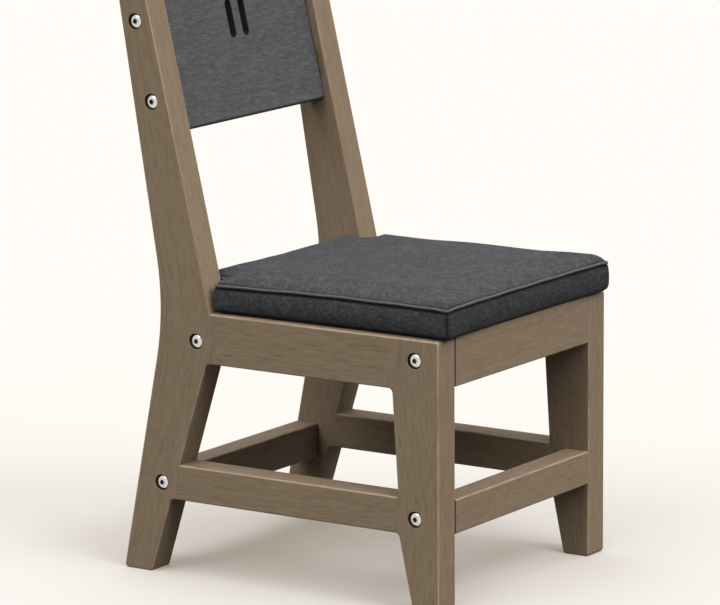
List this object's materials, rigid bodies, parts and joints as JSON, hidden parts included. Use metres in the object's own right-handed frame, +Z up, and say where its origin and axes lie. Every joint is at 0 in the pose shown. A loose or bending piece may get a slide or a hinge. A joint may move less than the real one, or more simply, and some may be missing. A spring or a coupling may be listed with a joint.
{
  "type": "patio dining chair",
  "caption": "Armless patio dining chair of wood-look boards with a leaning slotted back panel, side and cross stretchers, and a boxed seat cushion notched round the posts.",
  "frame": {"origin": "middle of the bounding box on the floor, under the feet", "axes": "+Z up, -Y towards the chair's front, +X towards the side that is on the right seen from the front"},
  "size_m": [0.492, 0.6046, 0.94],
  "materials": {
    "lumber": "wood-grained, matte",
    "panel_board": "fine horizontal grain, matte",
    "cushion_fabric": "fine woven",
    "cushion_foam": "open-cell foam",
    "stainless": "polished",
    "brass": "plain"
  },
  "bodies": {
    "frame": {"left_rear_leg": "lumber", "right_rear_leg": "lumber", "left_front_leg": "lumber", "right_front_leg": "lumber", "left_seat_rail": "lumber", "right_seat_rail": "lumber", "left_side_stretcher": "lumber", "right_side_stretcher": "lumber", "front_apron": "lumber", "rear_seat_rail": "lumber", "front_stretcher": "lumber", "rear_stretcher": "lumber", "backrest_panel": "panel_board", "seat_slat_1": "lumber", "seat_slat_2": "lumber", "seat_slat_3": "lumber", "seat_slat_4": "lumber", "seat_slat_5": "lumber", "left_seat_cleat": "lumber", "right_seat_cleat": "lumber", "frame_bolts": "stainless", "threaded_inserts": "brass", "panel_bolts": "stainless", "barrel_nuts": "stainless", "pocket_screws": "stainless", "slat_screws": "stainless", "cleat_screws": "stainless"},
    "cushion": {"cushion_cover": "cushion_fabric", "cushion_core": "cushion_foam"}
  },
  "joints": [
    {"name": "cushion_lift", "type": "slide", "parent": "frame", "child": "cushion", "axis": [0, 0, 1], "range_m": [0, 0.2]}
  ]
}
